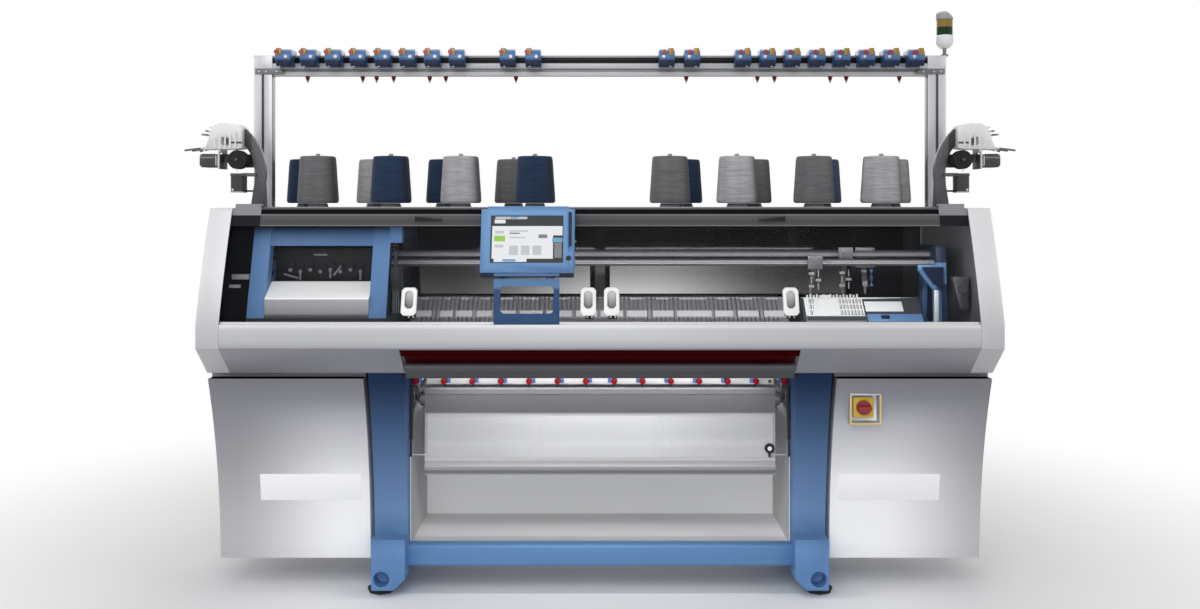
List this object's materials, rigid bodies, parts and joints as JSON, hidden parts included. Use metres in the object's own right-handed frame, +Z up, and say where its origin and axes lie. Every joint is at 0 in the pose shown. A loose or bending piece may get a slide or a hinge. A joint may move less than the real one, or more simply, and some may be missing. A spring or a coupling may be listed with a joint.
{
  "type": "flat knitting machine",
  "caption": "Flat knitting machine with a V-shaped pair of needle beds, a travelling cam carriage, sliding windows, a yarn stand with cones, side feed units and a fabric bay.",
  "frame": {"origin": "on the floor under the middle of the machine", "axes": "X along the needle beds with the operator's right as plus, Y from the operator's side to the back, Z up"},
  "size_m": [2.9568, 0.91, 2.051],
  "materials": {
    "frame_blue": "satin blue paint",
    "base_dark": "dark machine paint on a casting",
    "foot_black": "moulded black pads",
    "cover_grey": "fine textured grey paint",
    "cover_light": "satin light grey paint",
    "end_white": "smooth moulded white",
    "apron_dark": "mid grey paint",
    "bar_red": "dark red paint",
    "aluminium_profile": "anodised extrusion",
    "window_clear": "tinted clear sheet",
    "handle_white": "white moulded pull",
    "deck_grey": "grey paint",
    "cone_dark": "wound dark yarn",
    "cone_light": "wound light grey yarn",
    "pedestal_grey": "grey plastic",
    "housing_blue": "blue moulded housing",
    "cap_yellow": "amber moulded cap",
    "dial_red": "red moulded dial",
    "guide_dark": "dark red guides",
    "lamp_white": "white moulded housing",
    "lens_yellow_green": "yellow over green lenses",
    "steel_bright": "ground steel",
    "steel_bed": "ground slotted steel",
    "screen_blue": "blue moulded bezel",
    "screen_dark": "dark display panel",
    "black_rubber": "black rubber",
    "black_plastic": "black plastic",
    "carriage_dark": "black cam housings",
    "carriage_white": "white moulded covers",
    "switch_yellow": "yellow plate in a bright tray",
    "knob_red": "red switch knob",
    "bay_white": "white painted sheet",
    "feed_grey": "grey castings and dark arms"
  },
  "bodies": {
    "machine": {"leg_frame": "frame_blue", "levelling_feet": "foot_black", "machine_base": "base_dark", "needle_bed_front": "steel_bed", "drive_belt": "black_rubber", "inner_units": "black_plastic", "lower_covers": "cover_grey", "switch_plate": "switch_yellow", "end_covers": "end_white", "front_cover": "cover_light", "front_apron": "apron_dark", "window_header": "aluminium_profile", "fixed_panes": "window_clear", "rear_covers": "cover_grey", "cone_deck": "deck_grey", "cones_dark": "cone_dark", "cones_light": "cone_light", "cone_pedestals": "pedestal_grey", "yarn_stand": "aluminium_profile", "controller_bodies": "housing_blue", "controller_caps": "cap_yellow", "controller_dials": "dial_red", "yarn_guides": "guide_dark", "lamp_housing": "lamp_white", "lamp_lenses": "lens_yellow_green", "carriage_rails": "steel_bright", "feeder_rails": "steel_bright", "bed_brackets": "frame_blue", "pressing_bar": "cover_light", "pressing_knobs": "dial_red", "fabric_bay": "bay_white", "feed_units": "feed_grey"},
    "carriage": {"carriage_bow": "frame_blue", "carriage_body": "carriage_dark", "carriage_covers": "carriage_white"},
    "rear_bed": {"needle_bed_rear": "steel_bed"},
    "feeder_a": {"yarn_feeder_a": "black_plastic"},
    "feeder_b": {"yarn_feeder_b": "black_plastic"},
    "feeder_c": {"yarn_feeder_c": "black_plastic"},
    "door_left": {"window_left": "window_clear", "handles_left": "handle_white"},
    "door_right": {"window_right": "window_clear", "handles_right": "handle_white"},
    "screen_hanger": {"screen_bracket": "frame_blue"},
    "screen": {"screen_housing": "screen_blue", "screen_panel": "screen_dark"},
    "screen_button": {"screen_key": "black_plastic"},
    "start_stop_bar": {"start_bar": "bar_red"},
    "main_switch": {"switch_knob": "knob_red"},
    "flap": {"fabric_flap": "window_clear", "flap_frame": "aluminium_profile"},
    "latch": {"flap_latch": "black_plastic"},
    "gas_cylinders": {"spring_cylinders": "black_plastic"},
    "gas_rods": {"spring_rods": "steel_bright"},
    "take_down": {"take_down_roller": "black_rubber"},
    "pressers": {"pressing_rollers": "black_rubber"},
    "wheel_left": {"feed_wheel_left": "black_rubber"},
    "wheel_right": {"feed_wheel_right": "black_rubber"},
    "pulley_right": {"drive_pulley": "steel_bright"},
    "pulley_left": {"idler_pulley": "steel_bright"}
  },
  "joints": [
    {"name": "carriage_slide", "type": "slide", "parent": "machine", "child": "carriage", "axis": [1, 0, 0], "range_m": [0, 1.87]},
    {"name": "rear_bed_racking", "type": "slide", "parent": "machine", "child": "rear_bed", "axis": [1, 0, 0], "range_m": [-0.05, 0.05]},
    {"name": "feeder_a_slide", "type": "slide", "parent": "machine", "child": "feeder_a", "axis": [1, 0, 0], "range_m": [-1.84, 0.32]},
    {"name": "feeder_b_slide", "type": "slide", "parent": "machine", "child": "feeder_b", "axis": [1, 0, 0], "range_m": [-1.958, 0.202]},
    {"name": "feeder_c_slide", "type": "slide", "parent": "machine", "child": "feeder_c", "axis": [1, 0, 0], "range_m": [-2.04, 0.12]},
    {"name": "door_left_slide", "type": "slide", "parent": "machine", "child": "door_left", "axis": [1, 0, 0], "range_m": [-0.55, 0]},
    {"name": "door_right_slide", "type": "slide", "parent": "machine", "child": "door_right", "axis": [1, 0, 0], "range_m": [0, 0.55]},
    {"name": "screen_shift", "type": "slide", "parent": "machine", "child": "screen_hanger", "axis": [1, 0, 0], "range_m": [-0.3, 0.9]},
    {"name": "screen_tilt", "type": "hinge", "parent": "screen_hanger", "child": "screen", "pos_m": [-0.2355, -0.429, 1.091], "axis": [1, 0, 0], "range_deg": [-2, 12]},
    {"name": "button_press", "type": "slide", "parent": "screen", "child": "screen_button", "axis": [0, 0.9603, -0.279], "range_m": [0, 0.002], "stiffness_N_per_m": 400},
    {"name": "start_bar_turn", "type": "hinge", "parent": "machine", "child": "start_stop_bar", "pos_m": [0, -0.42511, 0.84505], "axis": [1, 0, 0], "range_deg": [-12, 12], "stiffness_Nm_per_rad": 20},
    {"name": "main_switch_turn", "type": "hinge", "parent": "machine", "child": "main_switch", "pos_m": [0.883, -0.29252, 0.64], "axis": [0, 1, 0], "range_deg": [0, 90]},
    {"name": "flap_swing", "type": "hinge", "parent": "machine", "child": "flap", "pos_m": [0, -0.2225, 0.69], "axis": [-1, 0, 0], "range_deg": [0, 80]},
    {"name": "latch_turn", "type": "hinge", "parent": "flap", "child": "latch", "pos_m": [0.578, -0.2295, 0.489], "axis": [0, 1, 0], "range_deg": [0, 90]},
    {"name": "gas_cylinder_swing", "type": "hinge", "parent": "machine", "child": "gas_cylinders", "pos_m": [0, -0.195, 0.695], "axis": [-1, 0, 0], "range_deg": [0, 74]},
    {"name": "gas_rod_slide", "type": "slide", "parent": "gas_cylinders", "child": "gas_rods", "axis": [0, -0.1187, -0.9929], "range_m": [0, 0.022]},
    {"name": "take_down_turn", "type": "hinge", "parent": "machine", "child": "take_down", "pos_m": [0, -0.04, 0.632], "axis": [1, 0, 0], "continuous": true},
    {"name": "presser_turn", "type": "hinge", "parent": "machine", "child": "pressers", "pos_m": [0, -0.0925, 0.632], "axis": [1, 0, 0], "continuous": true},
    {"name": "wheel_left_turn", "type": "hinge", "parent": "machine", "child": "wheel_left", "pos_m": [-1.289, -0.057, 1.479], "axis": [0, 1, 0], "continuous": true},
    {"name": "wheel_right_turn", "type": "hinge", "parent": "machine", "child": "wheel_right", "pos_m": [1.289, -0.057, 1.479], "axis": [0, 1, 0], "continuous": true},
    {"name": "pulley_right_turn", "type": "hinge", "parent": "machine", "child": "pulley_right", "pos_m": [1.165, 0.3923, 0.915], "axis": [0, 0, 1], "range_deg": [0, 3500]},
    {"name": "pulley_left_turn", "type": "hinge", "parent": "machine", "child": "pulley_left", "pos_m": [-1.165, 0.3923, 0.915], "axis": [0, 0, 1], "range_deg": [0, 3500]}
  ],
  "couplings": [
    {"joint": "pulley_right_turn", "follows": "carriage_slide", "rad_per_m": 31.949},
    {"joint": "pulley_left_turn", "follows": "carriage_slide", "rad_per_m": 31.949},
    {"joint": "presser_turn", "follows": "take_down_turn", "ratio": -1.6},
    {"joint": "gas_cylinder_swing", "follows": "flap_swing", "ratio": 0.9143},
    {"joint": "gas_rod_slide", "follows": "flap_swing", "m_per_rad": 0.0153}
  ]
}
